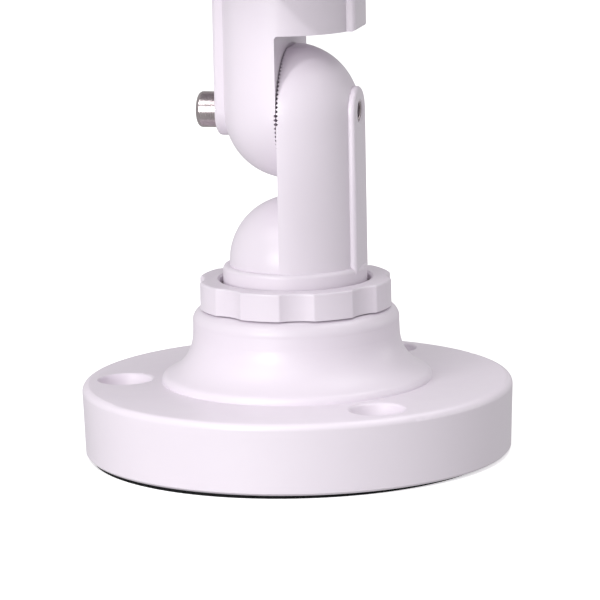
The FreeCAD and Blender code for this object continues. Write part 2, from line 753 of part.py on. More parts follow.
# ---- illumination ---------------------------------------------------------------------------
def led_points():
    points = []
    for index in range(LED_COUNT):
        turn = 2 * math.pi * (index + 0.5) / LED_COUNT
        points.append((LED_CIRCLE_R * math.cos(turn), HEAD_Z + LED_CIRCLE_R * math.sin(turn)))
    return points


def led_board():
    board = tube(VIEW, 32.2, 14.5, LED_BOARD_Y, LED_BOARD_Y + BOARD_T)
    holes = [rod(line_at(x, 0, HEAD_Z, Y_AXIS), 1.3, LED_BOARD_Y - 1, LED_BOARD_Y + 3)
             for x in (-29.6, 29.6)]
    return board.cut(holes)


def ir_emitters():
    """Twelve infrared emitters: a collar, a clear barrel and a domed lens each."""
    emitters = []
    for x, z in led_points():
        line = line_at(x, 0, z, Y_AXIS)
        collar = rod(line, 3.0, LED_BOARD_Y - 1.0, LED_BOARD_Y)
        barrel = rod(line, 2.5, LED_BOARD_Y - 5.6, LED_BOARD_Y - 0.5)
        dome = Part.makeSphere(2.5, V(x, LED_BOARD_Y - 5.6, z))
        emitters.append(joined(collar, barrel, dome))
    return group(emitters)


def light_sensor():
    line = line_at(0, 0, HEAD_Z - 17.6, Y_AXIS)
    body = rod(line, 2.4, LED_BOARD_Y - 2.4, LED_BOARD_Y)
    return body.cut(rod(line, 1.7, LED_BOARD_Y - 3, LED_BOARD_Y - 1.9))


def lens_shroud():
    """Foam tube that keeps the emitters' light out of the lens."""
    return tube(VIEW, 15.2, LENS_R + 1.6, WINDOW_FACE + WINDOW_T + 0.1, LED_BOARD_Y - 0.1)


# ---- lens and sensor ------------------------------------------------------------------------
def lens_barrel():
    """The lens tube: a mouth for the front element, two waists for the rings, and a tail."""
    tail = LENS_BACK - 4
    return turned(
        VIEW,
        (BARREL_MOUTH_R, LENS_FRONT),
        (LENS_R, LENS_FRONT),
        (LENS_R, FOCUS_RING_Y[0]),
        (BARREL_WAIST_R, FOCUS_RING_Y[0]),
        (BARREL_WAIST_R, FOCUS_RING_Y[1]),
        (LENS_R - 0.6, FOCUS_RING_Y[1]),
        (LENS_R - 0.6, ZOOM_RING_Y[0]),
        (BARREL_WAIST_R, ZOOM_RING_Y[0]),
        (BARREL_WAIST_R, ZOOM_RING_Y[1]),
        (LENS_R, ZOOM_RING_Y[1]),
        (LENS_R, tail),
        (BARREL_TAIL_R, tail),
        (BARREL_TAIL_R, LENS_BACK),
        (BARREL_BORE_R, LENS_BACK),
        (BARREL_BORE_R, LENS_FRONT + 5.2),
        (BARREL_MOUTH_R, LENS_FRONT + 5.2),
    )


def lens_element(rim_r, front, back, bulge):
    """A plano-convex glass element whose front face bulges forward of the rim."""
    curve_r = (rim_r ** 2 + bulge ** 2) / (2 * bulge)
    middle = VIEW[0] + Y_AXIS * (front - bulge + curve_r)
    return rod(VIEW, rim_r, front - bulge, back).common(Part.makeSphere(curve_r, middle))


def front_lens():
    """Convex front element sitting in the barrel's mouth."""
    return lens_element(BARREL_MOUTH_R - FIT, LENS_FRONT + 1.8, LENS_FRONT + 4.6, 1.3)


def rear_lens():
    return lens_element(BARREL_BORE_R - FIT, LENS_BACK - 3.8, LENS_BACK - 0.8, 1.2)


def ribbed_ring(waist):
    """A lens ring with grip flutes and one locking knob, which turns on a waist of the barrel."""
    start = waist[0] + 0.1
    end = waist[1] - 0.1
    ring = tube(VIEW, LENS_R + 1.3, BARREL_WAIST_R + FIT, start, end)
    flute = rod(line_at(LENS_R + 1.7, 0, HEAD_Z, Y_AXIS), 0.7, start + 0.8, end + 1)
    ring = ring.cut(around(flute, GRIP_RIBS, VIEW, first=180.0 / GRIP_RIBS))
    knob = rod(line_at(0, (start + end) / 2, HEAD_Z, Z_AXIS), 1.2, LENS_R, LENS_R + 5.4)
    return joined(ring, knob)


def lens_group(start, end):
    """A moving cell with its cemented element as one solid, sliding in the barrel."""
    cell = rod(VIEW, BARREL_BORE_R - FIT, start, end)
    front = Part.makeSphere(14.0, VIEW[0] + Y_AXIS * (start - 13.0))
    return cell.cut(front)


def lens_mount():
    """Square holder behind the lens, with the pocket that the cut filter slides in."""
    low = LENS_BACK - 3.9
    high = SENSOR_BOARD_Y
    body = box((-15, 15), (low, high), (HEAD_Z - 13, HEAD_Z + 13))
    body = rounded(body, 2.0, lambda edge: is_along(edge, Y_AXIS))
    bore = rod(VIEW, BARREL_TAIL_R + FIT, low - 1, LENS_BACK + 0.5)
    light = rod(VIEW, 6.0, low - 1, high + 1)
    pocket = box((-13.4, 13.4), (LENS_BACK + 1.4, LENS_BACK + 3.0), (HEAD_Z - 6.4, HEAD_Z + 6.4))
    well = box((-9, 9), (LENS_BACK + 5.2, high + 1), (HEAD_Z - 8, HEAD_Z + 8))
    return body.cut([bore, light, pocket, well])


def ir_cut_filter():
    """Sliding pane in front of the sensor: day filter on one half, clear glass on the other."""
    pane = box((-6.6, 12.6), (LENS_BACK + 1.7, LENS_BACK + 2.7), (HEAD_Z - 6.1, HEAD_Z + 6.1))
    return rounded(pane, 0.8, lambda edge: is_along(edge, Y_AXIS))


def sensor_board():
    board = box((-19, 19), (SENSOR_BOARD_Y, SENSOR_BOARD_Y + BOARD_T), (HEAD_Z - 19, HEAD_Z + 19))
    board = rounded(board, 2.0, lambda edge: is_along(edge, Y_AXIS))
    return board.cut([rod(line_at(x, 0, HEAD_Z + z, Y_AXIS), 1.2, SENSOR_BOARD_Y - 1,
                          SENSOR_BOARD_Y + 3) for x in (-16.5, 16.5) for z in (-16.5, 16.5)])


def image_sensor():
    package = box((-6.5, 6.5), (SENSOR_BOARD_Y - 1.5, SENSOR_BOARD_Y), (HEAD_Z - 5, HEAD_Z + 5))
    recess = box((-3.6, 3.6), (SENSOR_BOARD_Y - 2, SENSOR_BOARD_Y - 1.2),
                 (HEAD_Z - 2.8, HEAD_Z + 2.8))
    return package.cut(recess)


# ---- chassis and boards ---------------------------------------------------------------------
def chassis_sled():
    """Bent aluminium sled that carries the boards, turned up at the front for the sensor."""
    front = SENSOR_BOARD_Y + 2.2
    floor = box((-SLED_HALF, SLED_HALF), (front, SLED_BACK), (CHASSIS_Z, CHASSIS_Z + SLED_T))
    upright = box((-SLED_HALF + 2, SLED_HALF - 2), (front, front + SLED_T),
                  (CHASSIS_Z, HEAD_Z + 21))
    window = box((-13, 13), (front - 1, front + SLED_T + 1), (HEAD_Z - 12, HEAD_Z + 12))
    slots = [box((-18, 18), (y, y + 6), (CHASSIS_Z - 1, CHASSIS_Z + SLED_T + 1))
             for y in (-48, -34, 33)]
    return joined(floor, upright).cut([window] + slots)


def board_places():
    return [(x, y) for x in (-STANDOFF_X, STANDOFF_X) for y in STANDOFF_Y]


def board_bottom():
    return CHASSIS_Z + SLED_T + STANDOFF_H


def board_standoffs():
    return group([tube(line_at(x, y, 0, Z_AXIS), 2.6, 1.25, CHASSIS_Z + SLED_T, board_bottom())
                  for x, y in board_places()])


def main_board():
    low = board_bottom()
    board = box((-MAIN_BOARD_HALF_X, MAIN_BOARD_HALF_X), (STANDOFF_Y[0] - 4, STANDOFF_Y[1] + 4),
                (low, low + BOARD_T))
    board = rounded(board, 2.0, lambda edge: is_along(edge, Z_AXIS))
    return board.cut([rod(line_at(x, y, 0, Z_AXIS), 1.5, low - 1, low + 3)
                      for x, y in board_places()])


def board_screws():
    low = board_bottom()
    screws = []
    for x, y in board_places():
        line = line_at(x, y, 0, Z_AXIS)
        head = rod(line, 2.4, low + BOARD_T, low + BOARD_T + 1.8)
        shank = rod(line, 1.2, low - 4, low + BOARD_T + 0.5)
        slot = box((x - 1.6, x + 1.6), (y - 0.35, y + 0.35), (low + BOARD_T + 1.0, low + 6))
        screws.append(joined(head, shank).cut(slot))
    return group(screws)


def processor():
    low = board_bottom() + BOARD_T
    return box((-9, 9), (-12, 6), (low, low + CHIP_T))


def thermal_pad():
    low = board_bottom() + BOARD_T + CHIP_T
    return box((-8, 8), (-11, 5), (low, low + THERMAL_PAD_T))


def heat_sink():
    low = board_bottom() + BOARD_T + CHIP_T + THERMAL_PAD_T
    plate = box((-11, 11), (-14, 8), (low, low + 2.0))
    fins = [box((x - 0.6, x + 0.6), (-14, 8), (low + 1, low + 9)) for x in (-10.4, -5.2, 0, 5.2, 10.4)]
    return joined(plate, *fins)


def capacitors():
    low = board_bottom() + BOARD_T
    return group([rod(line_at(x, y, 0, Z_AXIS), CAPACITOR_R, low, low + CAPACITOR_H)
                  for x, y in CAPACITORS_AT])


# ---- service hatch --------------------------------------------------------------------------
def hatch_plate(inner_r, outer_r, lap):
    """A curved plate over the service opening, reaching past it by lap on every side."""
    ends = (HATCH_Y[0] - lap - 2.0, HATCH_Y[1] + lap + 2.0)
    outline = box((-HATCH_HALF_X - lap, HATCH_HALF_X + lap), ends, (0, HEAD_Z - 20))
    outline = rounded(outline, 4.0, lambda edge: is_along(edge, Z_AXIS))
    return tube(VIEW, outer_r, inner_r, *ends).common(outline)


def hatch_gasket():
    seal = hatch_plate(TUBE_R, TUBE_R + 0.5, HATCH_LAP)
    opening = box((-HATCH_HALF_X, HATCH_HALF_X), HATCH_Y, (0, HEAD_Z))
    holes = [rod(line_at(0, y, 0, Z_AXIS), 1.8, 0, HEAD_Z) for y in HATCH_SCREW_Y]
    return seal.cut([opening] + holes)


def hatch_cover():
    plate = hatch_plate(TUBE_R + 0.5, TUBE_R + 2.1, HATCH_LAP + 0.2)
    holes = [rod(line_at(0, y, 0, Z_AXIS), 1.7, 0, HEAD_Z) for y in HATCH_SCREW_Y]
    return plate.cut(holes)


def hatch_screws():
    low = HEAD_Z - TUBE_R - 2.1
    screws = []
    for y in HATCH_SCREW_Y:
        line = line_at(0, y, 0, Z_AXIS)
        head = turned(
            line,
            (0, low - 1.5),
            (1.2, low - 1.5),
            ((2.3, low - 1.1), (2.8, low)),
            (0, low),
        )
        shank = rod(line, HATCH_SCREW_R, low - 0.3, HEAD_Z - TUBE_BORE_R + 1.4)
        screws.append(joined(head, shank).cut(rod(line, 1.0, low - 2, low - 0.6)))
    return group(screws)


def service_board():
    return box((-17, 17), (26, 50), (SERVICE_BOARD_Z, SERVICE_BOARD_Z + BOARD_T))


def board_spacers():
    """Two short spacers that hang the service board under the sled."""
    low = SERVICE_BOARD_Z + BOARD_T
    return group([rod(line_at(x, 45.0, 0, Z_AXIS), 2.2, low, CHASSIS_Z) for x in (-14.5, 14.5)])


def card_socket():
    body = box((-8.0, 6.5), (30, 45.5), (SERVICE_BOARD_Z - 1.9, SERVICE_BOARD_Z))
    slot = box((-6.8, 5.3), (28, 43), (SERVICE_BOARD_Z - 1.5, SERVICE_BOARD_Z - 0.5))
    return body.cut(slot)


def switch_line():
    return line_at(SWITCH_AT[0], SWITCH_AT[1], SERVICE_BOARD_Z, Z_AXIS)


def reset_switch():
    x, y = SWITCH_AT
    body = box((x - 3, x + 3), (y - 3, y + 3), (SERVICE_BOARD_Z - 3.4, SERVICE_BOARD_Z))
    return body.cut(rod(switch_line(), 1.8, -4.0, -0.8))


def reset_button():
    return rod(switch_line(), 1.75, -5.2, -1.6)


# ---- sunshield ------------------------------------------------------------------------------
def sunshield():
    """Thin arched hood over the housing, with a brim that reaches past the window."""
    outer = SHIELD_IN_R + SHIELD_T
    shell = tube(VIEW, outer, SHIELD_IN_R, SHIELD_FRONT, SHIELD_BACK)
    half = outer + 2
    profile = [V(-half, SHIELD_BACK + 1, SHIELD_SKIRT_Z), V(-half, BEZEL_FRONT + 14, SHIELD_SKIRT_Z),
               V(-half, SHIELD_FRONT - 1, HEAD_Z + 34), V(-half, SHIELD_FRONT - 1, HEAD_Z + 60),
               V(-half, SHIELD_BACK + 1, HEAD_Z + 60)]
    keep = Part.Face(Part.makePolygon(profile + [profile[0]])).extrude(V(2 * half, 0, 0))
    shell = shell.common(keep)
    slots = []
    for y in SHIELD_SCREW_Y:
        ends = (y - SHIELD_TRAVEL, y + SHIELD_TRAVEL)
        slot = box((-2.1, 2.1), ends, (HEAD_Z, BIG))
        for end in ends:
            slot = slot.fuse(rod(line_at(0, end, 0, Z_AXIS), 2.1, HEAD_Z, BIG))
        slots.append(slot.removeSplitter())
    return shell.cut(slots)


def shield_screw(y):
    """Button-head screw through the sunshield's slot into the rail."""
    seat = HEAD_Z + SHIELD_IN_R + SHIELD_T + 0.1
    line = line_at(0, y, 0, Z_AXIS)
    head = turned(
        line,
        (0, seat),
        (4.4, seat),
        (4.4, seat + 0.6),
        ((3.4, seat + 1.9), (1.6, seat + 2.5)),
        (0, seat + 2.5),
    )
    shank = rod(line, SHIELD_SCREW_R, HEAD_Z + TUBE_R - 1.2, seat + 0.5)
    corners = []
    for index in range(7):
        turn = math.radians(60 * index)
        corners.append(V(1.44 * math.cos(turn), y + 1.44 * math.sin(turn), seat + 0.9))
    socket = Part.Face(Part.makePolygon(corners)).extrude(V(0, 0, 3))
    return joined(head, shank).cut(socket)


# ---- all the pieces -------------------------------------------------------------------------
PIECES = {
    "gasket_pad": gasket_pad,
    "base_casting": base_casting,
    "pan_friction_washer": pan_friction_washer,
    "pan_slip_washer": pan_slip_washer,
    "pan_lock_ring": pan_lock_ring,
    "lower_arm_casting": lower_arm_casting,
    "tilt_screw": tilt_screw,
    "upper_arm_casting": upper_arm_casting,
    "head_friction_washer": head_friction_washer,
    "head_slip_washer": head_slip_washer,
    "head_lock_ring": head_lock_ring,
    "head_foot": head_foot,
    "foot_screws": foot_screws,
    "saddle_gasket": saddle_gasket,
    "housing_tube": housing_tube,
    "rear_cap": rear_cap,
    "rear_cap_oring": lambda: oring(TUBE_BACK - 2.3),
    "rear_cap_screws": cap_screws,
    "cable_gland": cable_gland,
    "gland_nut": gland_nut,
    "gland_seal": gland_seal,
    "front_bezel": front_bezel,
    "bezel_oring": lambda: oring(TUBE_FRONT + 2.9),
    "front_window": front_window,
    "window_gasket": window_gasket,
    "led_board": led_board,
    "ir_emitters": ir_emitters,
    "light_sensor": light_sensor,
    "lens_shroud": lens_shroud,
    "lens_barrel": lens_barrel,
    "front_lens": front_lens,
    "rear_lens": rear_lens,
    "focus_ring": lambda: ribbed_ring(FOCUS_RING_Y),
    "focus_group": lambda: lens_group(LENS_FRONT + 9.0, LENS_FRONT + 14.0),
    "zoom_ring": lambda: ribbed_ring(ZOOM_RING_Y),
    "zoom_group": lambda: lens_group(LENS_FRONT + 20.0, LENS_FRONT + 27.0),
    "lens_mount": lens_mount,
    "ir_cut_filter": ir_cut_filter,
    "sensor_board": sensor_board,
    "image_sensor": image_sensor,
    "chassis_sled": chassis_sled,
    "board_standoffs": board_standoffs,
    "main_board": main_board,
    "board_screws": board_screws,
    "processor": processor,
    "thermal_pad": thermal_pad,
    "heat_sink": heat_sink,
    "capacitors": capacitors,
    "hatch_gasket": hatch_gasket,
    "hatch_cover": hatch_cover,
    "hatch_screws": hatch_screws,
    "service_board": service_board,
    "board_spacers": board_spacers,
    "card_socket": card_socket,
    "reset_switch": reset_switch,
    "reset_button": reset_button,
    "sunshield": sunshield,
    "shield_screw_front": lambda: shield_screw(SHIELD_SCREW_Y[0]),
    "shield_screw_rear": lambda: shield_screw(SHIELD_SCREW_Y[1]),
}

os.makedirs("parts", exist_ok=True)
for name, make in PIECES.items():
    piece = make()
    if not piece.isValid():
        print("not valid:", name)
    if len(piece.Solids) == 1:
        piece = piece.Solids[0]
    print(name, len(piece.Solids), "solid(s)", round(piece.Volume / 1000, 2), "cm3")
    piece.exportStep(os.path.join("parts", name + ".step"))
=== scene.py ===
"""Looks of the security camera: finishes, small visible details, studio and camera."""
import json
import math

import bmesh
import bpy
from mathutils import Euler, Matrix, Vector


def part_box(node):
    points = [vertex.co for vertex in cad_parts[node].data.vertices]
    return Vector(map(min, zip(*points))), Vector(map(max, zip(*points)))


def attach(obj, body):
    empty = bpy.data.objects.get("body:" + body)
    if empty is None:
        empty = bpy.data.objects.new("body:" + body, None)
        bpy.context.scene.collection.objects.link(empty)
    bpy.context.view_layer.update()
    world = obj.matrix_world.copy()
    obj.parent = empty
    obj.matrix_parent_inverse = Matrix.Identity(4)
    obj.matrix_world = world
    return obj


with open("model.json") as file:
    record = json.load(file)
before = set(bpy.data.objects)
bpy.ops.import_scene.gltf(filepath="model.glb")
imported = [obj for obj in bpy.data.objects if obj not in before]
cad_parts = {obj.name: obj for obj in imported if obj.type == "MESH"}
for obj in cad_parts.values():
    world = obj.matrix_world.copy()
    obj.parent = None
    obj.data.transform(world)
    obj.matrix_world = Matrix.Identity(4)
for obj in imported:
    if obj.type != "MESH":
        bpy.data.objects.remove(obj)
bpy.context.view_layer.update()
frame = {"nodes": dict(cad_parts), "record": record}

MM = 0.001


# ---- node helpers ---------------------------------------------------------------------------
class Look:
    """A material with its Principled shader, and short ways to add procedural detail."""

    def __init__(self, name, color, roughness, metallic=0.0, **more):
        self.material = bpy.data.materials.new(name)
        self.material.use_nodes = True
        self.tree = self.material.node_tree
        self.shader = self.tree.nodes["Principled BSDF"]
        self.place = self.tree.nodes.new("ShaderNodeTexCoord").outputs["Object"]
        self.shader.inputs["Base Color"].default_value = (*color, 1)
        self.shader.inputs["Roughness"].default_value = roughness
        self.shader.inputs["Metallic"].default_value = metallic
        for socket, value in more.items():
            self.shader.inputs[socket.replace("_", " ")].default_value = value

    def node(self, kind, **sockets):
        made = self.tree.nodes.new(kind)
        for socket, value in sockets.items():
            made.inputs[socket.replace("_", " ")].default_value = value
        return made

    def link(self, source, target):
        self.tree.links.new(source, target)

    def noise(self, size, detail=2.0, stretch=(1, 1, 1)):
        """Noise whose features are about size metres across, stretched along the axes."""
        mapping = self.node("ShaderNodeMapping", Scale=stretch)
        made = self.node("ShaderNodeTexNoise", Scale=1 / size, Detail=detail, Roughness=0.5)
        self.link(self.place, mapping.inputs["Vector"])
        self.link(mapping.outputs["Vector"], made.inputs["Vector"])
        return made.outputs["Fac"]

    def cells(self, size):
        """Voronoi cells about size metres across, as distance from each cell's middle."""
        made = self.node("ShaderNodeTexVoronoi", Scale=1 / size)
        self.link(self.place, made.inputs["Vector"])
        return made.outputs["Distance"]

    def rescaled(self, value, low, high):
        """Stretches the middle of a noise value, where nearly all of it lies, to low and high."""
        made = self.node("ShaderNodeMapRange")
        made.inputs["From Min"].default_value = 0.3
        made.inputs["From Max"].default_value = 0.7
        made.inputs["To Min"].default_value = low
        made.inputs["To Max"].default_value = high
        self.link(value, made.inputs["Value"])
        return made.outputs["Result"]

    def blended(self, value, first, second):
        """A colour between two others, chosen by value."""
        made = self.tree.nodes.new("ShaderNodeMix")
        made.data_type = "RGBA"
        made.inputs["A"].default_value = (*first, 1)
        made.inputs["B"].default_value = (*second, 1)
        self.link(value, made.inputs["Factor"])
        return made.outputs["Result"]

    def vary_color(self, value, first, second):
        self.link(self.blended(self.rescaled(value, 0, 1), first, second),
                  self.shader.inputs["Base Color"])

    def vary_roughness(self, value, low, high):
        self.link(self.rescaled(value, low, high), self.shader.inputs["Roughness"])

    def bump(self, *layers):
        """Bump from (height value, depth in metres) layers, one on top of another."""
        below = None
        for height, depth in layers:
            made = self.node("ShaderNodeBump", Strength=1.0, Distance=depth)
            self.link(height, made.inputs["Height"])
            if below:
                self.link(below, made.inputs["Normal"])
            below = made.outputs["Normal"]
        self.link(below, self.shader.inputs["Normal"])


# ---- finishes -------------------------------------------------------------------------------
PAINT = (0.775, 0.712, 0.785)
PAINT_SHADE = (0.755, 0.692, 0.765)


def powder_coat(name, peel):
    """Satin white powder coat: faint orange peel, and a slight change of tone over the part."""
    look = Look(name, PAINT, 0.36, Specular_IOR_Level=0.5)
    look.vary_color(look.noise(0.03, detail=3), PAINT_SHADE, PAINT)
    look.vary_roughness(look.noise(0.006, detail=4), 0.31, 0.41)
    look.bump((look.noise(0.0016, detail=2), peel), (look.noise(0.0004, detail=1), peel * 0.25))
    return look.material


def polished_steel(name):
    """Turned and polished steel with fine scratches round it."""
    look = Look(name, (0.52, 0.46, 0.47), 0.2, metallic=1.0)
    look.vary_color(look.noise(0.004, detail=4), (0.42, 0.36, 0.37), (0.62, 0.56, 0.57))
    scratches = look.noise(0.002, detail=5, stretch=(14, 1, 1))
    look.vary_roughness(scratches, 0.14, 0.3)
    look.bump((scratches, 0.000006))
    return look.material


def foam(name):
    """Closed-cell foam, with open cells on the cut face."""
    look = Look(name, (0.006, 0.006, 0.007), 0.95, Specular_IOR_Level=0.15)
    look.vary_color(look.noise(0.002, detail=3), (0.003, 0.003, 0.004), (0.010, 0.010, 0.011))
    look.bump((look.cells(0.0007), 0.00018), (look.noise(0.004), 0.0001))
    return look.material


def rubber(name):
    look = Look(name, (0.014, 0.014, 0.015), 0.62)
    look.vary_color(look.noise(0.005, detail=4), (0.010, 0.010, 0.011), (0.024, 0.024, 0.026))
    look.vary_roughness(look.noise(0.003), 0.5, 0.7)
    look.bump((look.noise(0.0005, detail=3), 0.00003))
    return look.material


def moulded_plastic(name, dark, light, roughness):
    """Spark-eroded mould texture on a plastic part."""
    look = Look(name, light, roughness)
    look.vary_color(look.noise(0.008, detail=3), dark, light)
    look.vary_roughness(look.noise(0.002), roughness - 0.06, roughness + 0.06)
    look.bump((look.noise(0.00035, detail=3), 0.00003))
    return look.material


def anodised(name):
    look = Look(name, (0.02, 0.02, 0.022), 0.38, metallic=0.7)
    turning = look.noise(0.002, detail=4, stretch=(1, 22, 1))
    look.vary_color(look.noise(0.003), (0.014, 0.014, 0.016), (0.03, 0.03, 0.034))
    look.vary_roughness(turning, 0.28, 0.46)
    look.bump((turning, 0.000008))
    return look.material


def bare_metal(name, dark, light):
    """Sheet or turned metal with a directional brush."""
    look = Look(name, light, 0.35, metallic=1.0)
    brush = look.noise(0.003, detail=5, stretch=(1, 18, 1))
    look.vary_color(brush, dark, light)
    look.vary_roughness(brush, 0.26, 0.44)
    look.bump((brush, 0.00001))
    return look.material


def window_glass(name):
    """Clear toughened glass with a trace of a water mark."""
    look = Look(name, (0.96, 0.985, 0.98), 0.01, Transmission_Weight=1.0, IOR=1.5)
    look.vary_roughness(look.noise(0.02, detail=4), 0.005, 0.02)
    return look.material


def lens_glass(name):
    """Optical glass with the violet and green of an anti-reflection coat."""
    look = Look(name, (0.9, 0.9, 0.95), 0.01, Transmission_Weight=1.0, IOR=1.62,
                Coat_Weight=1.0, Coat_Roughness=0.01, Coat_Tint=(0.55, 0.35, 0.95, 1))
    look.vary_color(look.noise(0.02, detail=1), (0.72, 0.70, 0.95), (0.80, 0.95, 0.86))
    return look.material


def emitter_epoxy(name):
    look = Look(name, (0.78, 0.74, 0.80), 0.04, Transmission_Weight=0.92, IOR=1.5)
    look.vary_color(look.noise(0.002), (0.70, 0.66, 0.74), (0.84, 0.80, 0.86))
    return look.material


def solder_mask(name):
    """Dark green board: mask gloss over a faint pattern of tracks."""
    look = Look(name, (0.010, 0.055, 0.028), 0.32, Coat_Weight=0.4, Coat_Roughness=0.2)
    tracks = look.node("ShaderNodeTexBrick", Scale=170.0)
    tracks.inputs["Color1"].default_value = (0.010, 0.058, 0.030, 1)
    tracks.inputs["Color2"].default_value = (0.014, 0.075, 0.038, 1)
    tracks.inputs["Mortar"].default_value = (0.030, 0.120, 0.060, 1)
    tracks.inputs["Mortar Size"].default_value = 0.05
    look.link(look.place, tracks.inputs["Vector"])
    look.link(tracks.outputs["Color"], look.shader.inputs["Base Color"])
    look.bump((look.noise(0.0004), 0.00001))
    return look.material


FINISHES = {
    "white_casting": powder_coat("white_casting_paint", 0.000012),
    "white_housing": powder_coat("white_housing_paint", 0.000010),
    "black_foam": foam("black_foam"),
    "black_rubber": rubber("black_rubber"),
    "nylon": moulded_plastic("nylon", (0.60, 0.57, 0.50), (0.70, 0.67, 0.60), 0.45),
    "steel": polished_steel("polished_steel"),
    "window_glass": window_glass("window_glass"),
    "lens_glass": lens_glass("lens_glass"),
    "emitter_lens": emitter_epoxy("emitter_epoxy"),
    "black_anodised": anodised("black_anodised"),
    "raw_aluminium": bare_metal("raw_aluminium", (0.62, 0.62, 0.64), (0.80, 0.80, 0.82)),
    "brass": bare_metal("turned_brass", (0.60, 0.44, 0.18), (0.78, 0.60, 0.28)),
    "circuit_board": solder_mask("solder_mask"),
    "black_plastic": moulded_plastic("black_plastic", (0.016, 0.016, 0.018),
                                     (0.030, 0.030, 0.033), 0.5),
    "chip": moulded_plastic("chip_epoxy", (0.022, 0.022, 0.024), (0.036, 0.036, 0.038), 0.55),
    "thermal_grey": moulded_plastic("thermal_pad", (0.30, 0.35, 0.40), (0.38, 0.43, 0.48), 0.8),
    "red_plastic": moulded_plastic("red_button", (0.38, 0.02, 0.015), (0.50, 0.03, 0.02), 0.3),
}

for part in frame["record"]["subparts"]:
    holder = frame["nodes"][part["node"]]
    for slot in holder.material_slots:
        slot.material = FINISHES[part["material_slot"]]


# ---- small details --------------------------------------------------------------------------
EMITTERS = 12
EMITTER_CIRCLE = 24.0 * MM
RESISTOR_CIRCLE = 29.4 * MM
DRIVER_CIRCLE = 18.2 * MM
SENSOR_DROP = 17.6 * MM        # how far the light sensor is below the camera's axis
IRIS_BLADES = 6


def middle_z(node):
    low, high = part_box(node)
    return (low[2] + high[2]) / 2


head_z = middle_z("front_window")
tilt_z = middle_z("tilt_screw")
screw_end_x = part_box("tilt_screw")[1][0]
board_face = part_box("led_board")[0][1]
iris_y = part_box("front_lens")[1][1] + 1.9 * MM


def add_piece(name, mesh, body, slot_name, smooth=False):
    """Makes a detail from a bmesh, gives it a finish of the record, and fixes it to a body."""
    bmesh.ops.recalc_face_normals(mesh, faces=mesh.faces)
    data = bpy.data.meshes.new(name)
    mesh.to_mesh(data)
    mesh.free()
    for polygon in data.polygons:
        polygon.use_smooth = smooth
    data.materials.append(FINISHES[slot_name])
    holder = bpy.data.objects.new(name, data)
    bpy.context.collection.objects.link(holder)
    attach(holder, body)


def loft(mesh, rings, closed=False):
    """Joins rings of points, all of one length, with quads, and caps the two ends."""
    made = [[mesh.verts.new(point) for point in ring] for ring in rings]
    pairs = list(zip(made, made[1:]))
    if closed:
        pairs.append((made[-1], made[0]))
    for one, two in pairs:
        for index in range(len(one)):
            after = (index + 1) % len(one)
            mesh.faces.new((one[index], one[after], two[after], two[index]))
    if not closed:
        mesh.faces.new(made[0])
        mesh.faces.new(made[-1])


def turn_along_y(mesh, middle, outline, sides=24):
    """A closed outline of (radius, distance forward) points in millimetres, turned about Y."""
    rings = []
    for index in range(sides):
        angle = 2 * math.pi * index / sides
        out = Vector((math.cos(angle), 0, math.sin(angle)))
        rings.append([middle + out * (radius * MM) - Vector((0, ahead * MM, 0))
                      for radius, ahead in outline])
    loft(mesh, rings, closed=True)


def block(mesh, middle, size, turn, edge):
    """A block with bevelled edges, lying on a board that faces along Y. Its size is in
    millimetres."""
    place = (Matrix.Translation(middle) @ Matrix.Rotation(turn, 4, "Y")
             @ Matrix.Diagonal((*[side * MM for side in size], 1)))
    made = bmesh.ops.create_cube(mesh, size=1.0, matrix=place)
    edges = list({line for vertex in made["verts"] for line in vertex.link_edges})
    bmesh.ops.bevel(mesh, geom=edges, offset=edge * MM, segments=2, affect="EDGES")


def around_lens(radius, angle, y):
    """A point on a circle round the camera's axis."""
    turn = math.radians(angle)
    return Vector((radius * math.cos(turn), y, head_z + radius * math.sin(turn)))


def turned_direction(turn, x, z):
    """A direction along the emitter board's face, turned with the component that lies there."""
    return Matrix.Rotation(turn, 3, "Y") @ Vector((x, 0, z))


def tapped_thread():
    """The screw thread that shows in the open end of the lower arm's tapped hole."""
    hole_r, crest_r, pitch = 2.49 * MM, 2.08 * MM, 0.8 * MM
    root_half, crest_half = Vector((0.3 * MM, 0, 0)), Vector((0.05 * MM, 0, 0))
    start, length = screw_end_x + 0.4 * MM, 3.4 * MM
    steps = 28
    rings = []
    for step in range(int(length / pitch * steps) + 1):
        angle = 2 * math.pi * step / steps
        x = start + pitch * step / steps
        out = Vector((0, math.cos(angle), math.sin(angle)))
        middle = Vector((x, 0, tilt_z))
        rings.append([middle + out * hole_r - root_half,
                      middle + out * crest_r - crest_half,
                      middle + out * crest_r + crest_half,
                      middle + out * hole_r + root_half])
    mesh = bmesh.new()
    loft(mesh, rings)
    add_piece("tapped_thread", mesh, "lower_arm", "steel", smooth=True)


def emitter_insides():
    """The metal cup, the lead beside it and the chip inside each clear emitter."""
    cup = [(0.25, 1.0), (0.7, 1.0), (1.45, 2.6), (1.25, 2.6), (0.6, 1.2), (0.25, 1.2)]
    lead = [(0.05, 0.4), (0.25, 0.4), (0.25, 3.0), (0.05, 3.0)]
    lead_shift = Vector((1.75 * MM, 0, 0))
    chip_shift = Vector((0, 1.4 * MM, 0))
    spacing = 360 / EMITTERS
    cups, chips = bmesh.new(), bmesh.new()
    for index in range(EMITTERS):
        foot = around_lens(EMITTER_CIRCLE, spacing * (index + 0.5), board_face)
        turn_along_y(cups, foot, cup)
        turn_along_y(cups, foot + lead_shift, lead, sides=8)
        block(chips, foot - chip_shift, (0.6, 0.35, 0.6), 0, 0.05)
    add_piece("emitter_cups", cups, "camera", "steel", smooth=True)
    add_piece("emitter_chips", chips, "camera", "chip")


